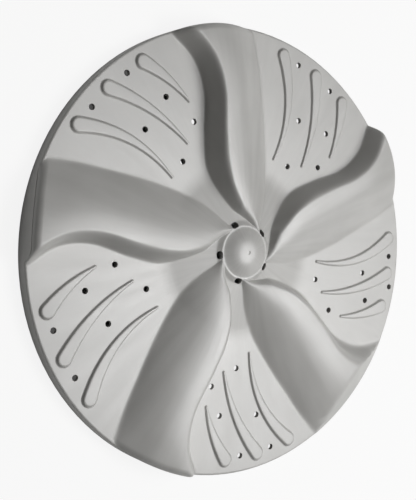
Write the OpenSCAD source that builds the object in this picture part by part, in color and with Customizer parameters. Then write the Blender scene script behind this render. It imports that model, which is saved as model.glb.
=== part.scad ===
// Washing machine agitator plate, one moulding of hard plastic.
// Five S-curved blades rise from a thin disc and run into a domed hub.
// The panels between them carry teardrop rubbing ribs and drain holes.
// The origin is on the drive axis, at the foot of the skirt, and +Z points out of the washing side.

/* [Disc] */
// Radius of the disc
disc_r = 170; // [160:1:190]
// Height of the flat panels above the foot of the skirt
skirt_h = 12; // [10:0.5:16]
// Thickness of the moulded wall
wall = 3; // [2.5:0.1:3.5]
// Rounding of the rim edge
rim_round = 1.6; // [1:0.1:2]

/* [Blades] */
// Height of a blade's crest above the panels
blade_h = 18; // [14:0.5:20]
// Rounding where a blade meets the outer wall
blade_end_round = 5; // [3:0.5:7]
// Roundness of the long flank, where 1 is a straight slope
flank_power = 2.1; // [1.8:0.1:2.3]
// Slope in degrees of the one blade end that runs down to the rim
low_end_slope = 38; // [30:1:45]

/* [Hub] */
// Height of the dome above the panels
dome_h = 16.4; // [15:0.2:18]
// Radius where the hub's slope leaves the flat panels
slope_r = 63; // [58:1:68]
// Radius of the circle of hub slots
slot_ring_r = 21.9; // [21.5:0.1:22.5]
// Width of a hub slot along the radius
slot_w = 4.2; // [3.8:0.1:4.6]
// Length of a hub slot across the radius
slot_len = 6; // [5.5:0.1:7]

/* [Drain holes and rubbing ribs] */
// Diameter of a drain hole
drain_d = 4.2; // [3:0.1:5]
// Height of a teardrop rib above the panel
rib_h = 2; // [1:0.1:3]
// Width of a teardrop's round head
head_w = 10.5; // [8:0.5:12]
// Width of a teardrop's inner tip
tip_w = 1.4; // [1:0.1:3]

/* [Drive boss and underside] */
// Diameter of the drive bore
bore_d = 11; // [9:0.5:13]
// Depth of the drive bore
bore_depth = 23; // [18:1:23]
// Outer diameter of the boss at its foot
boss_d = 27; // [24:1:29]
// Thickness of a stiffening rib
web_t = 2; // [1.5:0.1:2.5]
// Gap between a stiffening rib's lower edge and the foot of the skirt
web_gap = 3; // [2:0.5:5]

/* [Hidden] */
$fn = 96;

blades = 5;
pitch = 360 / blades;
// Angle of the first sector, and the sectors follow clockwise
first_turn = 90;
eps = 0.01;
// Amount by which a cutter runs past the wall that it cuts
clear = 5;

// Blade stations from the hub to the rim:
// [share of disc_r, crest angle, short flank's foot angle, long flank's foot angle, share of blade_h]
stations = [
    [0.120, 54, 76, 47, 0.62],
    [0.141, 68, 92, 52, 0.67],
    [0.176, 88, 108, 55.5, 0.76],
    [0.206, 97, 113.5, 57.5, 0.83],
    [0.294, 106, 118, 63, 0.95],
    [0.400, 107.2, 119, 70, 1],
    [0.530, 105.5, 114, 76.2, 1],
    [0.700, 103.2, 108.7, 82, 1],
    [0.853, 104.3, 109.5, 85.4, 0.97],
    [1.000, 109, 115, 88.4, 0.89],
    [1.020, 110, 116, 88.8, 0.88]
];

// Small turn of each blade in degrees, and the extra spread of its short and long flank at the rim
blade_turns = [0, 0, 1, 2.4, 0];
short_spreads = [0, 0, 6, 1.5, 0];
long_spreads = [0, 0, -4.5, 0, 0];
// Share of disc_r from which the extra spread grows
spread_from = 0.35;
// The blade whose outer end runs down to the rim, and how far inside the rim its foot lies
low_blade = 2;
low_end_inset = 0.8;
// Depth to which a blade's feet run below the panels, and depth of its root inside the disc
foot_sink = 1.2;
blade_root = 9;
hollow_root = 10;

// Drain holes of a panel: [share of disc_r, angle in the sector]
drain_holes = [[0.929, 130], [0.929, 143.5], [0.757, 122.4], [0.699, 135.4], [0.61, 115.3], [0.484, 129.2]];
// The two panels beside the low blade have their own pattern
drain_holes_right = [
    [0.962, 135.8], [0.939, 145], [0.82, 129.3], [0.769, 138.6], [0.617, 119.3], [0.48, 130.5]
];
drain_holes_lower = [
    [0.925, 131], [0.928, 141.7], [0.735, 122.6], [0.756, 138.2], [0.608, 117], [0.524, 129.7]
];
panel_holes = [drain_holes, drain_holes, drain_holes_right, drain_holes_lower, drain_holes];

// Teardrops of a panel: [head's share of disc_r, head angle, tip's share of disc_r, tip angle, bow]
teardrops = [
    [0.932, 124.4, 0.700, 114.8, 2.5],
    [0.932, 136.7, 0.540, 122.4, 5],
    [0.932, 149.4, 0.468, 139.6, 9]
];
// Turn of each panel's three teardrops
teardrop_turns = [[0, 0, 0], [0, 0, 0], [5, 3, 1.2], [1.5, 0, -1.2], [0.5, 1, 1]];

// Angle of the hub slots in the sector
slot_angle = 116;
// Angles of the stiffening webs in the sector, clear of every hole
web_angles = [126, 90];
spoke_angle = 80;
// Radii of the ring webs as shares of disc_r, clear of every hole
web_ring_shares = [0.17, 0.447, 0.641, 0.841];
web_rings = [for (s = web_ring_shares) s * disc_r];

// Heights above the foot of the skirt
panel_z = skirt_h;
dome_z = panel_z + dome_h;
inner_r = disc_r - wall;
// A blade's end wall stands a little inside the skirt's outer face, and its hollow inside the inner one
blade_end_r = disc_r - 0.3;
hollow_end_r = inner_r - 0.6;
// Depth of a blade's hollow below its top and below the low end, and its distance from the short flank
hollow_lower = wall + 0.3;
low_end_wall = wall * 1.2;
hollow_inset = 1.6;

// Dome and lip of the hub, heights above the panels
dome_shoulder = [10.2, dome_h - 1];
lip_r = 18.8;
lip_land = 1.6;
lip_z = 11.1;
lip_step = [23.8, 8.8];
dome_steps = 6;

function sector_turn(i) = first_turn - pitch * i;
function place(r, a, z) = [r * cos(a), r * sin(a), z];
function mix(a, b, t) = a + (b - a) * t;
function ease(t) = t * t * (3 - 2 * t);
function limit(x, low, high) = max(low, min(high, x));
// Rise from 0 to 1 that starts and ends flat and is steepest a little past the middle
steep_shift = 1.2;
function steep_ease(x) = let (t = pow(x, steep_shift)) t * t * t * (10 - 15 * t + 6 * t * t);

// Curve through column k of the stations, with each slope taken from the neighbours
function slope_at(i, k) =
    let (low = max(0, i - 1), high = min(len(stations) - 1, i + 1))
    (stations[high][k] - stations[low][k]) / (stations[high][0] - stations[low][0]);
function station_before(u, i = 0) =
    i >= len(stations) - 2 || u < stations[i + 1][0] ? i : station_before(u, i + 1);
function along(u, k) =
    let (
        i = station_before(u),
        gap = stations[i + 1][0] - stations[i][0],
        t = (u - stations[i][0]) / gap
    )
    mix(stations[i][k], stations[i + 1][k], ease(t))
    + gap * t * (1 - t) * ((1 - t) * slope_at(i, k) - t * slope_at(i + 1, k));

// Height of the disc without its blades, above the panels
function base_h(r) = r >= slope_r ? 0 : lip_step[1] * (slope_r - r) / (slope_r - lip_step[0]);

// Drop of the blade's top where it rounds over into the outer wall
function end_drop(r, round) =
    let (over = limit(r - (blade_end_r - round), 0, round))
    round - sqrt(round * round - over * over);

// Height across a blade: v runs from -1 at the short flank's foot over 0 at the crest to 1 at the long one's
function across(v) = v < 0 ? 1 - steep_ease(min(1, -v)) : 1 - pow(v, flank_power);

// One ring of a blade's upper surface, from the short flank to the long one
function blade_ring(i, r, spread, lower, inset, round) =
    let (
        u = r / disc_r,
        outer = limit((u - spread_from) / (1 - spread_from), 0, 1),
        shift = inset / r * 180 / PI,
        crest = along(u, 1) + blade_turns[i] - shift,
        short_foot = along(u, 2) + blade_turns[i] + short_spreads[i] * outer - shift,
        long_foot = along(u, 3) + blade_turns[i] + long_spreads[i] * sqrt(outer),
        rise = along(u, 4) * blade_h - base_h(r)
    )
    [for (v = spread)
        let (
            a = v < 0 ? mix(crest, short_foot, -v) : mix(crest, long_foot, v),
            h = base_h(r) + (rise + foot_sink) * across(v) - foot_sink
        )
        place(r, a, panel_z + h - lower - end_drop(r, round))];

// A blade as rings of points, closed below and at both ends
module blade_loft(i, radii, spread, lower, inset, round, root) {
    cols = len(spread);
    per_ring = cols + 2;
    rings = len(radii);
    points = [for (r = radii)
        let (
            top = blade_ring(i, r, spread, lower, inset, round),
            foot_z = panel_z + base_h(r) - root
        )
        each concat(top, [
            [top[cols - 1][0], top[cols - 1][1], foot_z],
            [top[0][0], top[0][1], foot_z]
        ])];
    skin = [for (k = [0 : rings - 2], j = [0 : per_ring - 1])
        let (
            a = k * per_ring + j,
            b = k * per_ring + (j + 1) % per_ring,
            c = a + per_ring,
            d = b + per_ring
        )
        each [[a, c, b], [b, c, d]]];
    // Each end is a fan from the root of the long flank
    inner_end = [for (j = [0 : per_ring - 1]) if (abs(j - cols + 0.5) > 1) [cols, j, (j + 1) % per_ring]];
    last = (rings - 1) * per_ring;
    outer_end = [for (t = inner_end) [last + t[0], last + t[2], last + t[1]]];
    polyhedron(points, concat(skin, inner_end, outer_end), convexity = 6);
}

// Rings as shares of disc_r: close together at the hub's curl, with more of them over the rounded outer end
blade_shares = [0.1212, 0.1306, 0.141, 0.153, 0.1676, 0.185, 0.206, 0.235, 0.27, 0.312, 0.365, 0.43, 0.5,
    0.57, 0.641, 0.712, 0.782, 0.847, 0.906, 0.95];
hollow_shares = [0.188, 0.218, 0.259, 0.312, 0.376, 0.453, 0.535, 0.618, 0.7, 0.782, 0.859, 0.924];
// The last ring lies outside the disc, where the loft is cut off
past_rim_r = 1.02 * disc_r;
blade_radii = concat(
    [for (s = blade_shares) s * disc_r],
    [for (a = [0, 26, 50, 70]) blade_end_r - blade_end_round * (1 - sin(a))],
    [blade_end_r + 0.5, past_rim_r]
);
hollow_radii = concat(
    [for (s = hollow_shares) s * disc_r],
    [hollow_end_r - 2.4, hollow_end_r + 1.6, past_rim_r]
);

// Places across a blade, with the long foot a little overrun so that it ends inside the disc
blade_spread = [-1, -0.84, -0.68, -0.52, -0.36, -0.2, 0, 0.16, 0.32, 0.46, 0.6, 0.74, 0.88, 1.03];
hollow_spread = [-1, -0.75, -0.5, -0.25, 0, 0.3, 0.6, 0.85, 1.06];

// Cone that cuts the low blade's outer end down to the rim, with its foot at depth lower below the panels
module low_end(lower) {
    height = dome_h + 2 * clear;
    foot_r = disc_r - low_end_inset + clear / tan(low_end_slope);
    translate([0, 0, panel_z - clear - lower])
        cylinder(h = height, r1 = foot_r, r2 = foot_r - height / tan(low_end_slope));
}

module blade_in_disc(i) {
    round = i == low_blade ? eps : blade_end_round;
    rotate(sector_turn(i))
        intersection() {
            blade_loft(i, blade_radii, blade_spread, 0, 0, round, blade_root);
            cylinder(h = dome_z + clear, r = blade_end_r);
        }
}

module blade(i) {
    if (i == low_blade)
        intersection() {
            blade_in_disc(i);
            low_end(0);
        }
    else
        blade_in_disc(i);
}

// Hollow under a blade, one wall thickness inside it
module hollow_in_disc(i) {
    rotate(sector_turn(i))
        intersection() {
            blade_loft(i, hollow_radii, hollow_spread, hollow_lower, hollow_inset, eps, hollow_root);
            cylinder(h = dome_z + clear, r = hollow_end_r);
        }
}

module blade_hollow(i) {
    if (i == low_blade)
        intersection() {
            hollow_in_disc(i);
            low_end(low_end_wall);
        }
    else
        hollow_in_disc(i);
}

// Half section of the disc and hub, heights above the panels
dome_arc = [for (k = [0 : dome_steps])
    let (t = k / dome_steps)
    [dome_shoulder[0] * t, dome_h - (dome_h - dome_shoulder[1]) * t * t]];
rim_arc = [for (a = [90 : -22.5 : 0])
    [disc_r - rim_round + rim_round * cos(a), -rim_round + rim_round * sin(a)]];

module disc_form() {
    translate([0, 0, panel_z])
        rotate_extrude()
            polygon(concat(
                dome_arc,
                [[lip_r, lip_z], [lip_r + lip_land, lip_z], lip_step, [slope_r, 0]],
                rim_arc,
                [[disc_r, -skirt_h], [0, -skirt_h]]
            ));
}

// The wall of the dome is thicker than the rest, because the drive turns it
dome_wall = wall + 1;
module disc_hollow() {
    translate([0, 0, panel_z])
        rotate_extrude()
            polygon([
                [0, dome_h - dome_wall],
                [dome_shoulder[0] - 1, dome_shoulder[1] - dome_wall],
                [lip_r, lip_z - dome_wall],
                [lip_step[0] - 1, lip_step[1] - wall],
                [slope_r, -wall],
                [inner_r - wall / 2, -wall],
                [inner_r, -wall * 1.5],
                [inner_r, -skirt_h - clear],
                [0, -skirt_h - clear]
            ]);
}

// Stiffening webs of the underside and the drive boss, all taller than the space they stand in
web_h = dome_z;
module radial_web(angle, from_r, to_r) {
    rotate(angle)
        translate([from_r, -web_t / 2, web_gap]) cube([to_r - from_r, web_t, web_h]);
}

module ring_web(r) {
    translate([0, 0, web_gap])
        difference() {
            cylinder(h = web_h, r = r + web_t / 2);
            translate([0, 0, -eps]) cylinder(h = web_h + 1, r = r - web_t / 2);
        }
}

// The boss widens a little towards the dome, as moulded bosses do
boss_foot = 1;
boss_taper = 1.5;
module webs() {
    for (i = [0 : blades - 1]) {
        for (a = web_angles) radial_web(sector_turn(i) + a, web_rings[0], disc_r - wall / 2);
        radial_web(sector_turn(i) + spoke_angle, boss_d / 4, web_rings[0]);
    }
    for (r = web_rings) ring_web(r);
    translate([0, 0, boss_foot]) cylinder(h = web_h, r1 = boss_d / 2, r2 = boss_d / 2 + boss_taper);
}

// Drive bore: a plain mouth a little wider than the serration's grooves, and the grooves above it
groove_count = 12;
groove_d = 1.6;
mouth_depth = 8;
mouth_chamfer = 1.2;
mouth_d = bore_d + groove_d + 0.2;
module drive_bore() {
    translate([0, 0, boss_foot]) {
        translate([0, 0, -clear]) {
            cylinder(h = bore_depth + clear, d = bore_d);
            cylinder(h = mouth_depth + clear, d = mouth_d);
        }
        for (k = [0 : groove_count - 1])
            rotate(360 / groove_count * k)
                translate([bore_d / 2, 0, 0]) cylinder(h = bore_depth - groove_d, d = groove_d, $fn = 24);
        translate([0, 0, -eps]) cylinder(h = mouth_chamfer, d1 = mouth_d + 2 * mouth_chamfer, d2 = mouth_d);
    }
}

// Outline of a teardrop along a bowed centre line
outline_steps = 9;
function teardrop_axis(p, turn, t) =
    let (
        head = place(p[0] * disc_r, p[1] + turn, 0),
        tip = place(p[2] * disc_r, p[3] + turn, 0),
        side = [head[1] - tip[1], tip[0] - head[0], 0] / norm(tip - head)
    )
    mix(head, tip, t) + side * p[4] * 4 * t * (1 - t);
function teardrop_side(p, turn, t, hand) =
    let (
        here = teardrop_axis(p, turn, t),
        dir = teardrop_axis(p, turn, t + eps) - teardrop_axis(p, turn, t - eps),
        across_dir = [-dir[1], dir[0]] / norm(dir),
        half = mix(head_w, tip_w, t) / 2
    )
    [here[0], here[1]] + hand * half * across_dir;
function teardrop_cap(p, turn, t, half, from) =
    let (
        here = teardrop_axis(p, turn, t),
        dir = teardrop_axis(p, turn, t + eps) - teardrop_axis(p, turn, t - eps),
        heading = atan2(dir[1], dir[0])
    )
    [for (a = [30 : 30 : 150])
        [here[0] + half * cos(heading + from + a), here[1] + half * sin(heading + from + a)]];

rib_root = 1;
module teardrop(p, turn) {
    translate([0, 0, panel_z - rib_root])
        linear_extrude(rib_h + rib_root)
            polygon(concat(
                [for (k = [0 : outline_steps]) teardrop_side(p, turn, k / outline_steps, -1)],
                teardrop_cap(p, turn, 1, tip_w / 2, -90),
                [for (k = [outline_steps : -1 : 0]) teardrop_side(p, turn, k / outline_steps, 1)],
                teardrop_cap(p, turn, 0, head_w / 2, 90)
            ));
}

module teardrop_ribs() {
    for (i = [0 : blades - 1], k = [0 : len(teardrops) - 1])
        rotate(sector_turn(i)) teardrop(teardrops[k], teardrop_turns[i][k]);
}

module drains() {
    for (i = [0 : blades - 1], p = panel_holes[i])
        rotate(sector_turn(i) + p[1])
            translate([p[0] * disc_r, 0, panel_z - wall - 1])
                cylinder(h = wall + 2, d = drain_d, $fn = 32);
}

// Oval slots at the foot of the dome, one at the inner end of each panel, cut from inside the hub's hollow
slot_from = 2;
module hub_slots() {
    reach = (slot_len - slot_w) / 2;
    height = dome_h + clear;
    for (i = [0 : blades - 1])
        rotate(sector_turn(i) + slot_angle)
            translate([slot_ring_r, 0, panel_z + slot_from]) {
                for (s = [-1, 1])
                    translate([0, s * reach, 0]) cylinder(h = height, d = slot_w, $fn = 32);
                translate([-slot_w / 2, -reach, 0]) cube([slot_w, 2 * reach, height]);
            }
}

// Shallow round mark of the mould's gate on top of the dome
gate_r = 1.2;
gate_depth = 0.6;
module gate_mark() {
    translate([0, 0, dome_z - gate_depth]) cylinder(h = clear, r = gate_r, $fn = 24);
}

module agitator_plate() {
    color("gainsboro")
        difference() {
            union() {
                disc_form();
                for (i = [0 : blades - 1]) blade(i);
                teardrop_ribs();
            }
            difference() {
                union() {
                    disc_hollow();
                    for (i = [0 : blades - 1]) blade_hollow(i);
                }
                webs();
            }
            drive_bore();
            drains();
            hub_slots();
            gate_mark();
        }
}

agitator_plate();
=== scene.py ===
# %% [markdown]
# # A washing machine's agitator plate
#
# This plate turns at the bottom of a top-loading washing machine. It is one moulding of light
# grey polypropylene: a thin disc, five S-curved blades, a domed hub, rows of teardrop ribs and
# drain holes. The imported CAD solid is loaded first, and everything below is measured in its
# frame, so nothing has to be fitted by eye.

# %% Load the frame
import math

import bmesh
import bpy
import numpy as np
from mathutils import Matrix, Vector


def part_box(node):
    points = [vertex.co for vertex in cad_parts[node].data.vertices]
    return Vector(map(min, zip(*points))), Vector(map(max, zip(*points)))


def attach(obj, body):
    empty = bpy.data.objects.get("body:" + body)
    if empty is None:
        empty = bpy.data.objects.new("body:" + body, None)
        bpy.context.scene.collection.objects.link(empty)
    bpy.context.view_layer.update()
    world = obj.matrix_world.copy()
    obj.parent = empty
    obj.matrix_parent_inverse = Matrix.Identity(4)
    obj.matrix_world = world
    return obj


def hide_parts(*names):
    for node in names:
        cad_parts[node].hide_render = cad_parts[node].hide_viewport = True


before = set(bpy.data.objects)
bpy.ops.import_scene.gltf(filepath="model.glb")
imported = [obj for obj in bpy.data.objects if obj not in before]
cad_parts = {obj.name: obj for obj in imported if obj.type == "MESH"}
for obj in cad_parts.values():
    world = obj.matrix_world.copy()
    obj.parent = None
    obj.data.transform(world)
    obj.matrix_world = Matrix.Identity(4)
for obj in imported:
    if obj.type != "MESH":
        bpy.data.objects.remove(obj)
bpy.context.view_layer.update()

MM = 0.001
plate_low, plate_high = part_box("agitator_plate")
disc_r = (plate_high.x - plate_low.x) / 2 / MM
print(f"disc radius {disc_r:.1f} mm, top of the blades {plate_high.z / MM:.1f} mm")

# %% [markdown]
# ## Camera
#
# The plate lies on its skirt, and the camera looks down on it. The camera's place, aim and roll
# give the same view of the plate that a photographer has who holds the camera on its side. The
# lens belongs to a sensor whose long side is 36 mm.

# %% Camera
camera_place = Vector((-3.9, -393.5, 572.8)) * MM
camera_aim = Vector((-0.3, -25.9, 12.0)) * MM
camera_roll = math.radians(93.6)
lens_mm = 64.8
sensor_mm = 36
nearest_m = 0.01

camera_data = bpy.data.cameras.new("camera")
camera_data.lens = lens_mm
camera_data.sensor_width = sensor_mm
camera_data.clip_start = nearest_m
camera = bpy.data.objects.new("camera", camera_data)
bpy.context.scene.collection.objects.link(camera)
level = (camera_aim - camera_place).to_track_quat("-Z", "Y").to_matrix()
camera.matrix_world = (
    Matrix.Translation(camera_place)
    @ (level @ Matrix.Rotation(camera_roll, 3, "Z")).to_4x4()
)
bpy.context.scene.camera = camera
print(f"camera {(camera_aim - camera_place).length:.2f} m from the plate")

# %% [markdown]
# ## The curves of a blade
#
# A blade is a hill that winds outwards from the hub. Three lines say where it is: the crest, the
# foot of its short steep flank and the foot of its long gentle flank. Each line is a smooth curve
# through a few stations, which hold a share of the radius and the angles of the three lines
# there. A polar grid can then put its columns right on those lines, so every crease stays crisp
# with few faces. From here on, lengths are in millimetres and angles in degrees, unless a name or
# a comment says otherwise.

# %% Stations of the blades
skirt_h = 12.0
blade_h = 18.0
# both flanks run down to this depth below the disc, so that they meet it at an angle
foot_sink = 1.2
# the long flank falls with this power of the way down, and a value over 1 moves the steepest part
# of the short flank past its middle
flank_power = 2.1
steep_shift = 1.2
blade_end_round = 5.0
blade_end_inset = 0.3
blade_end_r = disc_r - blade_end_inset
# the outer end of one blade is a slope down to the rim
low_blade = 2
low_end_slope = 38
low_end_inset = 0.8
sectors = 5

# share of the radius, crest angle, short foot angle, long foot angle, share of the height
stations = np.array([
    (0.120, 54, 76, 47, 0.62),
    (0.141, 68, 92, 52, 0.67),
    (0.176, 88, 108, 55.5, 0.76),
    (0.206, 97, 113.5, 57.5, 0.83),
    (0.294, 106, 118, 63, 0.95),
    (0.400, 107.2, 119, 70, 1),
    (0.530, 105.5, 114, 76.2, 1),
    (0.700, 103.2, 108.7, 82, 1),
    (0.853, 104.3, 109.5, 85.4, 0.97),
    (1.000, 109, 115, 88.4, 0.89),
    (1.020, 110, 116, 88.8, 0.88),
])
# each blade's own turn, and how far its short foot and its long foot spread at the rim
blade_turns = (0, 0, 1, 2.4, 0)
short_spreads = (0, 0, 6, 1.5, 0)
long_spreads = (0, 0, -4.5, 0, 0)
# the spreads start at this share of the radius
spread_from = 0.35
print(f"{sectors} blades, {blade_h:.0f} mm high, each with {len(stations)} stations")


# %% Curves through the stations
def mix(a, b, t):
    """The value that lies a share t of the way from a to b."""
    return a + (b - a) * t


def ease(t):
    """A rise from 0 to 1 that starts and ends flat."""
    return t * t * (3 - 2 * t)


def along(share, column):
    """The smooth curve through one column of the stations."""
    x, y = stations[:, 0], stations[:, column]
    slope = np.gradient(y, x, edge_order=1)
    slope[1:-1] = (y[2:] - y[:-2]) / (x[2:] - x[:-2])
    i = np.clip(np.searchsorted(x, share, side="right") - 1, 0, len(x) - 2)
    gap = x[i + 1] - x[i]
    t = (share - x[i]) / gap
    bend = (1 - t) * slope[i] - t * slope[i + 1]
    return mix(y[i], y[i + 1], ease(t)) + gap * t * (1 - t) * bend


def steep_ease(x):
    """A rise from 0 to 1 that starts and ends flat and is steepest a little past the middle."""
    t = x**steep_shift
    return t**3 * (10 - 15 * t + 6 * t * t)


def sector_turn(i):
    """Turn of sector i: the blades follow each other clockwise, seen from above."""
    return 90 - 360 / sectors * i


def blade_lines(i, r):
    """Angles of the crest and both feet of blade i at radius r, and the crest's height."""
    share = r / disc_r
    outer = np.clip((share - spread_from) / (1 - spread_from), 0, 1)
    turn = blade_turns[i]
    crest = along(share, 1) + turn
    short_foot = along(share, 2) + turn + short_spreads[i] * outer
    long_foot = along(share, 3) + turn + long_spreads[i] * np.sqrt(outer)
    return crest, short_foot, long_foot, along(share, 4) * blade_h


for share in (0.2, 0.5, 1.0):
    lines = blade_lines(0, np.array([share * disc_r]))
    print(f"at {share:.1f} of the radius the blade is {(lines[1] - lines[2])[0]:.0f} degrees wide")

# %% [markdown]
# ## The disc's own profile
#
# Without its blades the plate is a turned form: a dome, a small ring round its foot, a shallow
# slope and flat panels. Sharp corners are rare in a moulding, so the profile is averaged over a
# short stretch. That turns each corner into a small round. The stretch is long on the dome's
# shoulder and where the slope runs out, and short at the ring, which has the crispest edges.

# %% Profile of the disc
# radius and height above the panels: the dome's shoulder, both edges of the ring's flat top, and
# the ring's foot, where the slope to the panels starts
dome_shoulder = (10.2, 15.4)
lip = ((18.8, 11.1), (20.4, 11.1))
lip_step = (23.8, 8.8)
slope_r = 63.0
dome_h = 16.4
dome_z = skirt_h + dome_h
dome_points = 12
rim_round = 1.6

dome_radii = np.linspace(0, dome_shoulder[0], dome_points)
dome_heights = dome_h - (dome_h - dome_shoulder[1]) * (dome_radii / dome_shoulder[0]) ** 2
profile_r = np.concatenate([dome_radii, [lip[0][0], lip[1][0], lip_step[0], slope_r, 2 * disc_r]])
profile_h = np.concatenate([dome_heights, [lip[0][1], lip[1][1], lip_step[1], 0, 0]])

# half the length over which the profile is averaged, at each of these radii
reach_radii = (5, 10, 15, 18, 22, 26, 45)
reaches = (2.0, 3.5, 2.5, 0.6, 0.6, 1.0, 6.0)
reach_samples = 11


def disc_height(r):
    """Height of the disc without blades above the panels, with its corners rounded."""
    reach = np.interp(r, reach_radii, reaches)
    stretch = np.linspace(-1, 1, reach_samples)
    spots = np.abs(r[..., None] + reach[..., None] * stretch)
    height = np.interp(spots, profile_r, profile_h).mean(axis=-1)
    over = np.clip(r - (disc_r - rim_round), 0, rim_round)
    return height - rim_round + np.sqrt(rim_round**2 - over**2)


def hub_slope(r):
    """Height of the slope round the hub, which every blade stands on."""
    return lip_step[1] * np.clip(slope_r - r, 0, None) / (slope_r - lip_step[0])


print("heights at 0, 20 and 40 mm:", np.round(disc_height(np.array([0.0, 20.0, 40.0])), 1))

# %% [markdown]
# ## The washing side as one grid
#
# Each row of the grid is a circle, and its columns follow the blades: close together on the
# flanks and at the feet, far apart on the flat panels. Where a flank meets the disc, a smooth
# maximum of the two heights makes the little fillet that a mould needs there.

# %% Height of the washing side
low_end_round = 1.0


def smooth_max(a, b, round_mm):
    """The larger of two heights, with the corner where they meet rounded over round_mm."""
    near = np.clip(round_mm - np.abs(a - b), 0, None) / round_mm
    return np.maximum(a, b) + near**2 * round_mm / 4


def blade_height(i, r, v):
    """Height of blade i above the panels: v is -1 at the short foot, 0 at the crest, 1 at the long foot."""
    base = hub_slope(r)
    rise = blade_lines(i, r)[3] - base
    short = 1 - steep_ease(np.clip(-v, 0, 1))
    long = 1 - np.clip(v, 0, None) ** flank_power
    height = base + (rise + foot_sink) * np.where(v < 0, short, long) - foot_sink
    if i == low_blade:
        ramp = (disc_r - low_end_inset - r) * math.tan(math.radians(low_end_slope))
        return -smooth_max(-height, -ramp, low_end_round)
    over = np.clip(r - (blade_end_r - blade_end_round), 0, blade_end_round)
    return height - blade_end_round + np.sqrt(blade_end_round**2 - over**2)


# %% Columns of one blade
# steps away from the long foot as shares of the flank: past a flank of foot_flank they stay as long
foot_steps = np.array([0.075, 0.04, 0.02, 0.01])
foot_flank = 40
# the short flank's columns run past its foot by this factor, so that its fillet is in them too
short_overrun = 1.08
long_columns = 30
short_columns = 20
# the fillet at a blade's feet, at these two radii
fillet_radii = (25, 60)
fillets = (0.6, 1.5)


def blade_columns(i, r):
    """Angles and heights of the columns over blade i on the circle of radius r, from its long foot on."""
    crest, short_foot, long_foot, high = blade_lines(i, r)
    rise = high - hub_slope(r)
    foot_v = (rise / (rise + foot_sink)) ** (1 / flank_power)
    flank = math.radians(crest - long_foot) * r
    reach = min(flank, foot_flank) / flank
    outside = foot_v + foot_steps * reach
    inside = foot_v - foot_steps[::-1][:-1] * reach
    up_flank = np.linspace(foot_v - foot_steps[0] * reach, 0, long_columns)
    v_long = np.concatenate([outside, [foot_v], inside, up_flank])
    v_short = -np.linspace(0, short_overrun, short_columns + 1)[1:]
    angle_long = mix(crest, long_foot, v_long)
    angle_short = mix(crest, short_foot, -v_short)
    v = np.concatenate([v_long, v_short])
    circle = np.full(len(v), r)
    blade = blade_height(i, circle, v)
    fillet = float(np.interp(r, fillet_radii, fillets))
    height = smooth_max(disc_height(circle), blade, fillet)
    return np.concatenate([angle_long, angle_short]) + sector_turn(i), height


# %% Rows of the grid
panel_columns = 14
# the blades in the order in which a full circle meets them
blade_order = (0, 4, 3, 2, 1)
# the smallest circle that crosses the blades, just outside the first station: smaller circles keep
# its angles
station_clearance = 0.2
first_blade_r = stations[0][0] * disc_r + station_clearance


def ring_of_columns(r):
    """One full circle of the washing side: angles in degrees and heights above the skirt's foot."""
    blade_r = max(r, first_blade_r)
    parts = [blade_columns(i, blade_r) for i in blade_order]
    angles, heights = [], []
    for k, (angle, height) in enumerate(parts):
        # a blade that starts before the first one comes at the end of the circle
        angle = angle + (360 if angle[0] < parts[0][0][0] - 1 else 0)
        following = parts[(k + 1) % sectors][0][0]
        while following < angle[-1]:
            following += 360
        panel = np.linspace(angle[-1], following, panel_columns + 2)[1:-1]
        angles += [angle, panel]
        flat = disc_height(np.full(panel_columns, blade_r))
        heights += [height, flat]
    heights = np.concatenate(heights)
    if r < blade_r:
        heights = np.full(len(heights), float(disc_height(np.array([r]))[0]))
    return np.concatenate(angles), np.minimum(heights + skirt_h, plate_high.z / MM)


# first radius, last radius and step: fine at the hub's ring, and wider outwards
row_spans = ((1.5, 19, 1.5), (19, 26, 0.45), (26, 60, 1.2), (60, 162, 2.0))
end_angles = np.arange(0, 91, 11.25)
rim_angles = np.arange(0, 91, 15)
rows = np.unique(np.round(np.concatenate([
    *[np.arange(*span) for span in row_spans],
    blade_end_r - blade_end_round + blade_end_round * np.sin(np.radians(end_angles)),
    disc_r - rim_round + rim_round * np.sin(np.radians(rim_angles)),
]), 3))
grid = [ring_of_columns(r) for r in rows]
print(f"{len(rows)} rows of {len(grid[0][0])} columns")

# %% [markdown]
# ## Closing the grid into a solid
#
# Boolean tools want closed bodies. The grid gets an outer wall and a floor, so that it becomes a
# solid puck with the plate's washing side on top. The underside comes later.


# %% Closed bodies
def new_object(name, vertices, faces):
    """Makes an object from points in metres and lists of their numbers."""
    mesh = bpy.data.meshes.new(name)
    mesh.from_pydata(vertices, [], faces)
    mesh.validate()
    made = bpy.data.objects.new(name, mesh)
    bpy.context.scene.collection.objects.link(made)
    return made


def polar_solid(name, radii, circles, lower, foot):
    """A closed body under the grid: foot lists (radius, height) of the rows below the outer edge."""
    count = len(circles[0][0])
    rings = []
    for r, (angle, height) in zip(radii, circles):
        turn = np.radians(angle)
        rings.append(np.column_stack([r * np.cos(turn), r * np.sin(turn), height - lower]))
    turn = np.radians(circles[-1][0])
    for r, z in foot:
        rings.append(np.column_stack([r * np.cos(turn), r * np.sin(turn), np.full(count, z)]))
    top = np.array([[0, 0, dome_z - lower]])
    bottom = np.array([[0, 0, foot[-1][1]]])
    vertices = np.vstack([top, *rings, bottom]) * MM
    here = np.arange(count)
    after = np.roll(here, -1)
    faces = [(0, 1 + a, 1 + b) for a, b in zip(here, after)]
    for k in range(len(rings) - 1):
        low, high = 1 + k * count, 1 + (k + 1) * count
        faces += [(low + a, high + a, high + b, low + b) for a, b in zip(here, after)]
    last = 1 + (len(rings) - 1) * count
    end = len(vertices) - 1
    faces += [(end, last + b, last + a) for a, b in zip(here, after)]
    return new_object(name, vertices.tolist(), faces)


# %% Build the puck
edge_round = 0.5
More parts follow.
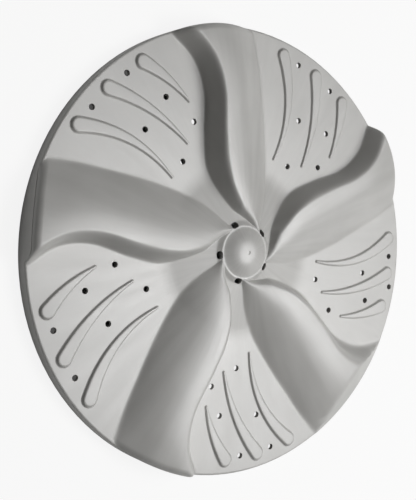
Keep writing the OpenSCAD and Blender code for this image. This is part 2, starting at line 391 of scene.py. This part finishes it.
# the middle of a round edge lies this far inside both faces
edge_middle = 0.3 * edge_round
puck = polar_solid(
    "agitator", rows, grid, 0,
    [(disc_r, edge_round), (disc_r - edge_middle, edge_middle), (disc_r - edge_round, 0)],
)
print("puck:", len(puck.data.polygons), "faces")

# %% [markdown]
# ## The underside
#
# The hollows, webs and drive boss under the plate are already exact in the CAD solid. A filler
# fills the plate from below up to the middle of its wall. The filler less the CAD solid is then
# just the air under the plate, and the puck less that air has the fine washing side and the
# true underside. A copy of the CAD mesh is used, because the CAD object itself is never changed.


# %% Boolean helper
def combine(body, tool, operation):
    """Applies one Boolean to body with tool, and takes tool away."""
    step = body.modifiers.new("boolean", "BOOLEAN")
    step.operation = operation
    step.solver = "MANIFOLD"
    step.object = tool
    graph = bpy.context.evaluated_depsgraph_get()
    result = bpy.data.meshes.new_from_object(body.evaluated_get(graph))
    body.modifiers.clear()
    body.data = result
    bpy.data.objects.remove(tool)


# %% Filler
# middle of the wall, measured from the washing side down and from the rim inwards
skin_middle = 1.6
filler_r = disc_r - 1.5
# the filler ends clear below the skirt's foot
filler_foot = -2
inner_rows = [k for k, r in enumerate(rows) if r < filler_r]
filler = polar_solid(
    "filler",
    [rows[k] for k in inner_rows] + [filler_r],
    [grid[k] for k in inner_rows] + [grid[inner_rows[-1]]],
    skin_middle,
    [(filler_r, filler_foot)],
)
print("filler:", len(filler.data.polygons), "faces")

# %% Take the air under the plate away
# points of the CAD mesh that lie closer together than this, in metres, are the same point
weld_gap = 2e-8
solid_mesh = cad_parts["agitator_plate"].data.copy()
welder = bmesh.new()
welder.from_mesh(solid_mesh)
bmesh.ops.remove_doubles(welder, verts=welder.verts, dist=weld_gap)
loose_edges = sum(1 for e in welder.edges if not e.is_manifold)
welder.to_mesh(solid_mesh)
welder.free()
solid = bpy.data.objects.new("solid", solid_mesh)
bpy.context.scene.collection.objects.link(solid)
print("CAD copy:", len(solid_mesh.polygons), "faces,", loose_edges, "open edges")
combine(filler, solid, "DIFFERENCE")
print("air under the plate:", len(filler.data.polygons), "faces")
combine(puck, filler, "DIFFERENCE")
print("plate with its underside:", len(puck.data.polygons), "faces")

# %% [markdown]
# ## One shell
#
# The filler's upper skin can also catch a sliver of air right inside the wall, where the CAD
# solid ends a little lower than the washing side does. Such a sliver leaves a closed pocket that
# nobody can see. A walk from face to face finds every closed shell, and only the largest stays.


# %% Keep the outer shell
def keep_largest_shell(body):
    """Deletes every closed shell of body apart from the largest one, and returns how many there were."""
    walker = bmesh.new()
    walker.from_mesh(body.data)
    shell_of = [-1] * len(walker.faces)
    sizes = []
    for first in walker.faces:
        if shell_of[first.index] >= 0:
            continue
        shell_of[first.index] = len(sizes)
        front = [first]
        reached = 0
        while front:
            face = front.pop()
            reached += 1
            for edge in face.edges:
                for other in edge.link_faces:
                    if shell_of[other.index] < 0:
                        shell_of[other.index] = len(sizes)
                        front.append(other)
        sizes.append(reached)
    largest = sizes.index(max(sizes))
    spare = [face for face in walker.faces if shell_of[face.index] != largest]
    bmesh.ops.delete(walker, geom=spare, context="FACES")
    walker.to_mesh(body.data)
    walker.free()
    return len(sizes)


print("closed shells found:", keep_largest_shell(puck))

# %% [markdown]
# ## Teardrop ribs
#
# Each panel has three raised teardrops that rub the laundry. A teardrop is an outline round a
# bowed line, wide at its head and narrow at its tip. It grows out of the panel with a soft
# fillet, leans in and rounds over at the top, so its edge reads as a soft dark line. Towards the
# tip it gets lower and its edge tighter. Each one is a stack of such outlines, each a little
# smaller than the one below.

# %% Outline of a teardrop
rib_h = 2.0
tip_share = 0.65
head_w = 10.5
tip_w = 1.4
line_points = 25
cap_points = 11
# no outline is drawn in by more than this share of its half width
most_inset = 0.6
# head's share of the radius, head angle, tip's share of the radius, tip angle, bow
teardrops = (
    (0.932, 124.4, 0.700, 114.8, 2.5),
    (0.932, 136.7, 0.540, 122.4, 5),
    (0.932, 149.4, 0.468, 139.6, 9),
)
# extra turn of the three teardrops in each of the five panels
teardrop_turns = ((0, 0, 0), (0, 0, 0), (5, 3, 1.2), (1.5, 0, -1.2), (0.5, 1, 1))


def teardrop_outline(drop, turn, inset):
    """Points round one teardrop, drawn in by inset from its edge, and how far along it they lie."""
    head_share, head_angle, tip_r_share, tip_angle, bow = drop
    angle = np.radians([head_angle + turn, tip_angle + turn])
    far_out = np.array([head_share, tip_r_share])[:, None] * disc_r
    ends = far_out * np.column_stack([np.cos(angle), np.sin(angle)])
    run = ends[1] - ends[0]
    side = np.array([-run[1], run[0]]) / np.hypot(*run)
    t = np.linspace(0, 1, line_points)[:, None]
    line = ends[0] + run * t + side * bow * 4 * t * (1 - t)
    tangent = run + side * bow * 4 * (1 - 2 * t)
    tangent_length = np.hypot(tangent[:, 0], tangent[:, 1])[:, None]
    normal = np.column_stack([-tangent[:, 1], tangent[:, 0]]) / tangent_length
    widest = mix(head_w, tip_w, t) / 2
    half = widest - np.minimum(inset * mix(1, tip_share, t), most_inset * widest)
    caps = []
    for end, start in ((-1, 90), (0, 270)):
        heading = np.degrees(np.arctan2(tangent[end, 1], tangent[end, 0]))
        sweep = np.radians(heading + start - np.linspace(0, 180, cap_points + 2)[1:-1])
        caps.append(line[end] + half[end] * np.column_stack([np.cos(sweep), np.sin(sweep)]))
    left = line + normal * half
    right = (line - normal * half)[::-1]
    t = t[:, 0]
    along_it = np.concatenate([t, np.ones(cap_points), t[::-1], np.zeros(cap_points)])
    return np.vstack([left, caps[0], right, caps[1]]), along_it


# %% One teardrop
# inset from the edge, and share of the rib's height
teardrop_edge = (
    (-1.7, -0.3), (-1.15, 0.01), (-0.8, 0.06), (-0.5, 0.17), (-0.22, 0.36),
    (0.02, 0.58), (0.28, 0.77), (0.6, 0.9), (1.05, 0.975), (1.6, 1.0),
)


def teardrop(drop, turn, sector):
    """One closed teardrop, standing in its panel."""
    spin = math.radians(sector_turn(sector))
    turned = np.array([[math.cos(spin), math.sin(spin)], [-math.sin(spin), math.cos(spin)]])
    rings = []
    for inset, share in teardrop_edge:
        outline, along_it = teardrop_outline(drop, turn, inset)
        height = rib_h * share * mix(1, tip_share, along_it)
        rings.append(np.column_stack([outline @ turned, skirt_h + height]))
    count = len(rings[0])
    here = list(range(count))
    after = here[1:] + here[:1]
    faces = [here]
    for k in range(len(rings) - 1):
        low, high = k * count, (k + 1) * count
        faces += [(low + b, low + a, high + a, high + b) for a, b in zip(here, after)]
    crown = (len(rings) - 1) * count
    tip_end = line_points + cap_points
    far = tip_end + line_points - 1
    for k in range(line_points - 1):
        faces.append((crown + far - k, crown + far - k - 1, crown + k + 1, crown + k))
    faces.append([crown + a for a in reversed(here[line_points - 1:tip_end + 1])])
    faces.append([crown + a for a in reversed(here[far:] + here[:1])])
    return new_object("teardrop", (np.vstack(rings) * MM).tolist(), faces)


# %% Join the teardrops
for sector in range(sectors):
    for drop, turn in zip(teardrops, teardrop_turns[sector]):
        combine(puck, teardrop(drop, turn, sector), "UNION")
print(sectors * len(teardrops), "teardrops joined")

# %% [markdown]
# ## Drain holes, hub slots and the gate's mark
#
# The holes in the panels let water and lint through. A turned cutter with a slightly wider top
# gives each hole the small soft edge that a mould pin leaves. Every panel starts with an oval
# slot at the hub, and the dome keeps a shallow round mark where the plastic was fed in.

# %% Places of the holes
drain_r = 2.1
# share of the radius and angle in the sector, for most panels and for the two beside the low blade
drain_pattern = (
    (0.929, 130), (0.929, 143.5), (0.757, 122.4), (0.699, 135.4), (0.610, 115.3), (0.484, 129.2),
)
drain_right = (
    (0.962, 135.8), (0.939, 145), (0.820, 129.3), (0.769, 138.6), (0.617, 119.3), (0.480, 130.5),
)
drain_lower = (
    (0.925, 131), (0.928, 141.7), (0.735, 122.6), (0.756, 138.2), (0.608, 117), (0.524, 129.7),
)
panel_drains = (drain_pattern, drain_pattern, drain_right, drain_lower, drain_pattern)
slot_r = 21.9
slot_angle = 116
slot_w = 4.2
slot_len = 6.0
gate_r = 1.2
gate_depth = 0.6
# this is added to the radius that the CAD's drains and slots have, so that no two walls coincide
slack = 0.02
round_sides = 32
slot_sides = 40
print(sum(len(holes) for holes in panel_drains), "drain holes and", sectors, "slots")


# %% Cutter
def stacked_cutter(levels, place, spin, reach, sides):
    """A closed upright cutter: levels are (radius, height), and reach stretches it across the radius."""
    turn = np.linspace(0, 2 * np.pi, sides, endpoint=False) + np.pi / sides
    rings = []
    for r, z in levels:
        x = r * np.cos(turn)
        y = r * np.sin(turn) + np.sign(np.sin(turn)) * reach
        rings.append(np.column_stack([
            place[0] + x * math.cos(spin) - y * math.sin(spin),
            place[1] + x * math.sin(spin) + y * math.cos(spin),
            np.full(sides, z),
        ]))
    here = list(range(sides))
    after = here[1:] + here[:1]
    faces = []
    for k in range(len(rings) - 1):
        low, high = k * sides, (k + 1) * sides
        faces += [(low + a, low + b, high + b, high + a) for a, b in zip(here, after)]
    faces += [here[::-1], [(len(rings) - 1) * sides + a for a in here]]
    return new_object("cutter", (np.vstack(rings) * MM).tolist(), faces)


def polar(r, degrees):
    """Place of a point that is given by its radius and angle."""
    return r * math.cos(math.radians(degrees)), r * math.sin(math.radians(degrees))


# %% Cut the holes
# radius and height: a straight bore, its soft upper edge, and a cone that runs clear of the panel
drain_levels = (
    (drain_r + slack, skirt_h - 6),
    (drain_r + slack, skirt_h - 0.35),
    (drain_r + 0.1, skirt_h - 0.12),
    (drain_r + 0.3, skirt_h + 0.02),
    (drain_r + 1.0, skirt_h + 0.72),
)
slot_levels = ((slot_w / 2 + slack, skirt_h - 2), (slot_w / 2 + slack, skirt_h + 20))
gate_levels = ((gate_r, dome_z - gate_depth), (gate_r + 0.15, dome_z - 0.1), (gate_r + 1.5, dome_z + 1))
for sector in range(sectors):
    for share, angle in panel_drains[sector]:
        spot = polar(share * disc_r, sector_turn(sector) + angle)
        combine(puck, stacked_cutter(drain_levels, spot, 0, 0, round_sides), "DIFFERENCE")
    turn = sector_turn(sector) + slot_angle
    spot = polar(slot_r, turn)
    slot = stacked_cutter(slot_levels, spot, math.radians(turn), (slot_len - slot_w) / 2, slot_sides)
    combine(puck, slot, "DIFFERENCE")
combine(puck, stacked_cutter(gate_levels, (0, 0), 0, 0, round_sides), "DIFFERENCE")
print("plate with its holes:", len(puck.data.polygons), "faces")

# %% [markdown]
# ## Shading
#
# The surface is smooth, but a few edges are not. Edges that turn by more than 35 degrees are
# marked sharp. Normals are then weighted by the size of the faces, which keeps the wide flat
# panels flat right up to each rounded edge. The Booleans pass on normals that the CAD mesh came
# with, so those go first.

# %% Smooth shading with sharp edges
sharp_angle = 35
if "custom_normal" in puck.data.attributes:
    puck.data.attributes.remove(puck.data.attributes["custom_normal"])
marker = bmesh.new()
marker.from_mesh(puck.data)
marker.normal_update()
for face in marker.faces:
    face.smooth = True
for edge in marker.edges:
    edge.smooth = edge.calc_face_angle(0) < math.radians(sharp_angle)
marker.to_mesh(puck.data)
marker.free()
weighting = puck.modifiers.new("weighting", "WEIGHTED_NORMAL")
weighting.keep_sharp = True
graph = bpy.context.evaluated_depsgraph_get()
shaded = bpy.data.meshes.new_from_object(puck.evaluated_get(graph))
puck.modifiers.clear()
puck.data = shaded
print("sharp edges:", sum(1 for edge in puck.data.edges if edge.use_edge_sharp))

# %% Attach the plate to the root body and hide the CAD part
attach(puck, "root")
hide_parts("agitator_plate")
triangles = sum(len(p.vertices) - 2 for p in puck.data.polygons)
print("finished plate:", triangles, "triangles")

# %% [markdown]
# ## Colours and nodes
#
# Colours are written as sRGB hex values, the way a colour picker shows them. Blender works with
# linear light, so one function converts them. Another adds a node, sets it and links it.


# %% Helpers for materials
def linear(hex_colour):
    """An sRGB hex value as linear red, green, blue and alpha."""
    parts = [int(hex_colour[k:k + 2], 16) / 255 for k in (1, 3, 5)]
    return tuple(c / 12.92 if c <= 0.04045 else ((c + 0.055) / 1.055) ** 2.4 for c in parts) + (1.0,)


def add_node(tree, kind, inputs=None, **settings):
    """Adds a node. inputs maps a socket's name or number to a value or to another node's output."""
    node = tree.nodes.new(kind)
    for name, value in settings.items():
        setattr(node, name, value)
    for name, value in (inputs or {}).items():
        if isinstance(value, bpy.types.NodeSocket):
            tree.links.new(value, node.inputs[name])
        else:
            node.inputs[name].default_value = value
    return node


def new_material(name):
    """An empty material and its node tree."""
    material = bpy.data.materials.new(name)
    material.use_nodes = True
    material.node_tree.nodes.clear()
    return material, material.node_tree


print("mid grey #808080 in linear light:", round(linear("#808080")[0], 3))

# %% [markdown]
# ## Moulded polypropylene
#
# Polypropylene comes out of a polished mould with a waxy, satin surface. Three things keep it
# from looking like paint. Its grey is a little uneven, because the pigment streaks as the plastic
# flows out from the gate at the dome. Its gloss varies along the same flow lines. And its skin
# has a very fine orange peel, which softens every reflection.
#
# The flow lines run outwards from the axis. Noise that depends on the direction alone would give
# endless straight rays, so the distance from the axis goes in as well, on a much longer scale.

# %% Flow lines and clouds
# the noise changes over flow_length outwards, and flow_density times in a radian round the axis
flow_length = 60 * MM
flow_density = 14.0
cloud_size = 45 * MM

plate_material, tree = new_material("satin_polypropylene")
position = add_node(tree, "ShaderNodeTexCoord").outputs["Object"]
flat = add_node(
    tree, "ShaderNodeVectorMath", {0: position, 1: (1, 1, 0)}, operation="MULTIPLY"
).outputs[0]
distance = add_node(
    tree, "ShaderNodeVectorMath", {0: flat}, operation="LENGTH"
).outputs["Value"]
outward = add_node(
    tree, "ShaderNodeVectorMath", {0: flat}, operation="NORMALIZE"
).outputs[0]
flow_across = add_node(
    tree, "ShaderNodeVectorMath", {0: outward, "Scale": flow_density}, operation="SCALE"
).outputs[0]
flow_along = add_node(
    tree, "ShaderNodeMath", {0: distance, 1: 1 / flow_length}, operation="MULTIPLY"
).outputs[0]
flow_up = add_node(tree, "ShaderNodeCombineXYZ", {"Z": flow_along}).outputs[0]
flow_place = add_node(
    tree, "ShaderNodeVectorMath", {0: flow_across, 1: flow_up}, operation="ADD"
).outputs[0]
flow = add_node(
    tree, "ShaderNodeTexNoise", {"Vector": flow_place, "Scale": 1.0, "Detail": 4.0}
).outputs["Fac"]
cloud = add_node(
    tree, "ShaderNodeTexNoise", {"Vector": position, "Scale": 1 / cloud_size, "Detail": 3.0}
).outputs["Fac"]
print(f"flow lines change over {flow_length / MM:.0f} mm, clouds over {cloud_size / MM:.0f} mm")

# %% [markdown]
# The two noises multiplied give the streaks. They only move the grey between two close values.
# Satin moulded plastic has a roughness of about 0.3 to 0.5, and this plate's lies in the middle.
# Its orange peel has a grain of well under a millimetre. It is drawn at 1.6 mm, because anything
# finer wouldn't show.

# %% Grey, gloss and orange peel
dark_grey = linear("#b9b8b5")
light_grey = linear("#c6c5c2")
dark_until = 0.12
light_from = 0.42
flow_low = 0.3
flow_high = 0.7
smoothest = 0.34
roughest = 0.44
peel_size = 1.6 * MM
peel_depth = 0.1 * MM
peel_strength = 0.12

streaks = add_node(tree, "ShaderNodeMath", {0: flow, 1: cloud}, operation="MULTIPLY").outputs[0]
tone = add_node(tree, "ShaderNodeValToRGB", {"Fac": streaks})
tone.color_ramp.elements[0].position = dark_until
tone.color_ramp.elements[0].color = dark_grey
tone.color_ramp.elements[1].position = light_from
tone.color_ramp.elements[1].color = light_grey
gloss = add_node(tree, "ShaderNodeMapRange", {
    "Value": flow,
    "From Min": flow_low,
    "From Max": flow_high,
    "To Min": smoothest,
    "To Max": roughest,
}).outputs["Result"]
peel = add_node(
    tree, "ShaderNodeTexNoise", {"Vector": position, "Scale": 1 / peel_size, "Detail": 2.0}
).outputs["Fac"]
bump = add_node(tree, "ShaderNodeBump", {
    "Height": peel,
    "Strength": peel_strength,
    "Distance": peel_depth,
}).outputs["Normal"]
print("greys in linear light:", round(dark_grey[0], 3), "to", round(light_grey[0], 3))

# %% [markdown]
# Polypropylene has an IOR of about 1.5. The specular level of 1.0 is twice the neutral one of 0.5.
# It was matched to how strongly this plate mirrors the softboxes.

# %% The plastic
plastic_ior = 1.5
plastic_specular = 1.0
plastic = add_node(tree, "ShaderNodeBsdfPrincipled", {
    "Base Color": tone.outputs["Color"],
    "Roughness": gloss,
    "Normal": bump,
    "IOR": plastic_ior,
    "Specular IOR Level": plastic_specular,
})
add_node(tree, "ShaderNodeOutputMaterial", {"Surface": plastic.outputs[0]})
puck.data.materials.clear()
puck.data.materials.append(plate_material)
print("material:", plate_material.name)

# %% [markdown]
# ## Floor and background
#
# The plate lies on a pale floor. Seen by the camera the floor is nearly white, and a share of
# plain diffuse shading keeps the plate's soft shadow on it. Reflections show it too, but dimmer,
# and for the light that bounces around the scene it is an ordinary pale surface. Under the plate
# the floor carries a painted glow, which the holes show, apart from two places where it stays
# dark: below the hub, and on the side near the camera. There a faint painted glow shows close to
# the rim, as if some light came in under the skirt.

# %% Floor
# in metres
floor_side = 4.0
half_side = floor_side / 2
floor = new_object("floor", [
    (-half_side, -half_side, 0), (half_side, -half_side, 0),
    (half_side, half_side, 0), (-half_side, half_side, 0),
], [(0, 1, 2, 3)])
print("floor", floor_side, "m wide")

# %% Where the floor is bright, and where it carries painted glow
# distances from the plate's axis in metres: the open floor starts just inside the rim, and the
# dark near side starts at near_side_y
plate_edge_r = (disc_r - 2) * MM
hub_shade_r = 28 * MM
near_side_y = -60 * MM
painted_rim_glow_r = 150 * MM
# share of the glow in the faint painted light near the rim
painted_rim_glow_share = 0.08

floor_material, tree = new_material("pale_floor")
spot = add_node(tree, "ShaderNodeTexCoord").outputs["Object"]
from_axis = add_node(tree, "ShaderNodeVectorMath", {0: spot}, operation="LENGTH").outputs["Value"]
across = add_node(tree, "ShaderNodeSeparateXYZ", {0: spot}).outputs["Y"]
around = add_node(
    tree, "ShaderNodeMath", {0: from_axis, 1: plate_edge_r}, operation="GREATER_THAN"
).outputs[0]
beside_hub = add_node(
    tree, "ShaderNodeMath", {0: from_axis, 1: hub_shade_r}, operation="GREATER_THAN"
).outputs[0]
far_side = add_node(
    tree, "ShaderNodeMath", {0: across, 1: near_side_y}, operation="GREATER_THAN"
).outputs[0]
# painted glow on the floor under the plate, away from the hub and the near side, which shows white through
# the holes
painted_glow_under_plate = add_node(
    tree, "ShaderNodeMath", {0: beside_hub, 1: far_side}, operation="MULTIPLY"
).outputs[0]
# a faint painted glow on the floor under the plate, close to its rim
near_rim = add_node(
    tree, "ShaderNodeMath", {0: from_axis, 1: painted_rim_glow_r}, operation="GREATER_THAN"
).outputs[0]
painted_rim_glow = add_node(
    tree, "ShaderNodeMath", {0: near_rim, 1: painted_rim_glow_share}, operation="MULTIPLY"
).outputs[0]
# the open floor's even brightness together with the painted glow under the plate
open_or_painted_glow = add_node(
    tree, "ShaderNodeMath", {0: around, 1: painted_glow_under_plate}, operation="MAXIMUM"
).outputs[0]
backdrop_or_painted_glow = add_node(
    tree, "ShaderNodeMath", {0: open_or_painted_glow, 1: painted_rim_glow}, operation="MAXIMUM"
).outputs[0]
print(f"open floor beyond {plate_edge_r / MM:.0f} mm, faint light beyond {painted_rim_glow_r / MM:.0f} mm")

# %% Glow and paint of the floor
# share of the glow in reflections, and share of the glow in all that the camera sees
mirrored_share = 0.3
glow_share = 0.88

rays = add_node(tree, "ShaderNodeLightPath")
# the camera sees the open floor's glow and the painted glow under the plate
direct = add_node(
    tree, "ShaderNodeMath", {0: backdrop_or_painted_glow, 1: rays.outputs["Is Camera Ray"]}, operation="MULTIPLY"
).outputs[0]
second = add_node(tree, "ShaderNodeMath", {
    0: rays.outputs["Is Glossy Ray"],
    1: rays.outputs["Is Transmission Ray"],
}, operation="MAXIMUM").outputs[0]
mirrored = add_node(
    tree, "ShaderNodeMath", {0: around, 1: second}, operation="MULTIPLY"
).outputs[0]
dimmed = add_node(
    tree, "ShaderNodeMath", {0: mirrored, 1: mirrored_share}, operation="MULTIPLY"
).outputs[0]
white_part = add_node(
    tree, "ShaderNodeMath", {0: direct, 1: dimmed}, operation="MAXIMUM"
).outputs[0]
share = add_node(
    tree, "ShaderNodeMath", {0: white_part, 1: glow_share}, operation="MULTIPLY"
).outputs[0]
paint = add_node(tree, "ShaderNodeBsdfDiffuse", {"Color": linear("#e6e6e4")}).outputs[0]
glow = add_node(
    tree, "ShaderNodeEmission", {"Color": linear("#ffffff"), "Strength": 1.0}
).outputs[0]
surface = add_node(tree, "ShaderNodeMixShader", {0: share, 1: paint, 2: glow}).outputs[0]
add_node(tree, "ShaderNodeOutputMaterial", {"Surface": surface})
floor.data.materials.append(floor_material)
print("material:", floor_material.name)

# %% [markdown]
# The world behind the floor is white to the camera and through clear things. It gives almost no
# light, so that the softboxes alone shape the plate, and reflections show only a trace of it.

# %% World
room_strength = 0.01
gloss_strength = 0.05

world = bpy.data.worlds.new("studio")
bpy.context.scene.world = world
world.use_nodes = True
tree = world.node_tree
tree.nodes.clear()
rays = add_node(tree, "ShaderNodeLightPath")
in_gloss = add_node(
    tree, "ShaderNodeMath", {0: rays.outputs["Is Glossy Ray"], 1: gloss_strength}, operation="MULTIPLY"
).outputs[0]
seen = add_node(
    tree, "ShaderNodeMath", {0: rays.outputs["Is Camera Ray"], 1: in_gloss}, operation="MAXIMUM"
).outputs[0]
seen_or_through = add_node(
    tree, "ShaderNodeMath", {0: seen, 1: rays.outputs["Is Transmission Ray"]}, operation="MAXIMUM"
).outputs[0]
room = add_node(
    tree, "ShaderNodeBackground", {"Color": linear("#ffffff"), "Strength": room_strength}
).outputs[0]
white = add_node(
    tree, "ShaderNodeBackground", {"Color": linear("#ffffff"), "Strength": 1.0}
).outputs[0]
sky = add_node(tree, "ShaderNodeMixShader", {0: seen_or_through, 1: room, 2: white}).outputs[0]
add_node(tree, "ShaderNodeOutputWorld", {"Surface": sky})
print("world:", world.name)

# %% [markdown]
# ## Light
#
# Four softboxes stand on the far side of the plate, opposite the camera. The flat panels mirror
# them softly towards the camera and come out bright. Every flank tilts that soft reflection away
# and gets darker, and the steep ones get darkest, which makes the blades read as hills.

# %% Softboxes
# in metres
plate_middle = Vector((0, 0, 0.01))


def softbox(name, place, size, watts):
    """A square area light that faces the plate. place and size are in metres."""
    lamp = bpy.data.lights.new(name, "AREA")
    lamp.size = size
    lamp.energy = watts
    box = bpy.data.objects.new(name, lamp)
    bpy.context.scene.collection.objects.link(box)
    spot = Vector(place)
    aim = (plate_middle - spot).to_track_quat("-Z", "Y").to_matrix().to_4x4()
    box.matrix_world = Matrix.Translation(spot) @ aim


softbox("key", (0.17, 0.63, 1.01), 0.6, 6.3)
softbox("beside_key", (-0.17, 0.63, 1.01), 0.6, 1.5)
softbox("top", (0.0, 0.34, 1.15), 0.9, 4.4)
softbox("low", (0.58, 1.0, 0.31), 0.6, 1.2)
bpy.context.scene.view_settings.view_transform = "Standard"
